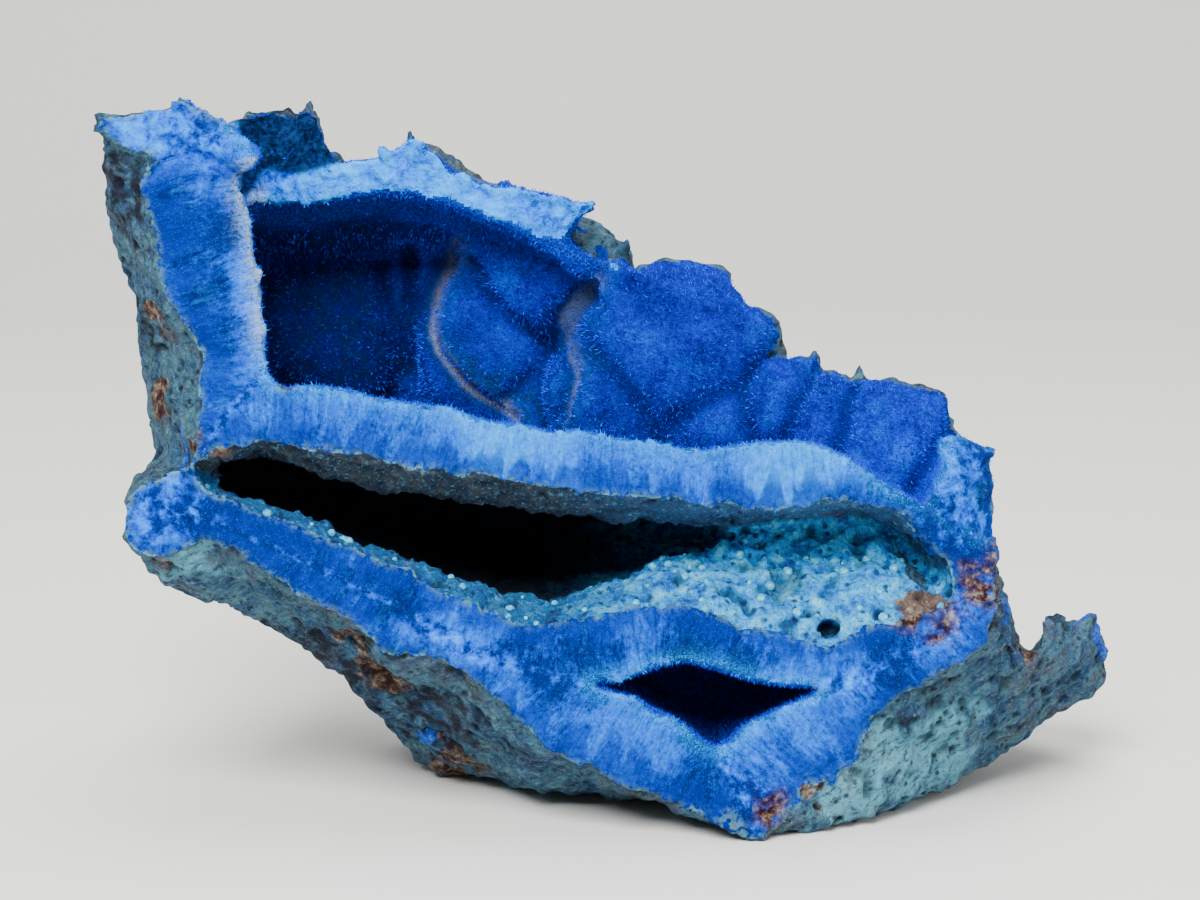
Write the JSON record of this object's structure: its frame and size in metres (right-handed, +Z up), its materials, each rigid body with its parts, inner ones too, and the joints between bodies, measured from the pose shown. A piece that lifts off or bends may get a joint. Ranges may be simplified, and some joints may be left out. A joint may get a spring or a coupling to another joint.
{
  "type": "mineral specimen",
  "caption": "Broken lump of shattuckite boxwork: fibrous blue walls around open hollows, velvet lobes inside and a rough teal rind outside.",
  "frame": {"origin": "middle of the bounding box's base, on the surface that the lump stands on", "axes": "+X to the right of the broken face as one looks at it, +Y from the broken face into the lump, +Z up"},
  "size_m": [0.099, 0.0528, 0.068],
  "materials": {
    "shattuckite_stone": "matte"
  },
  "bodies": {
    "root": {"shattuckite": "shattuckite_stone"}
  },
  "joints": []
}
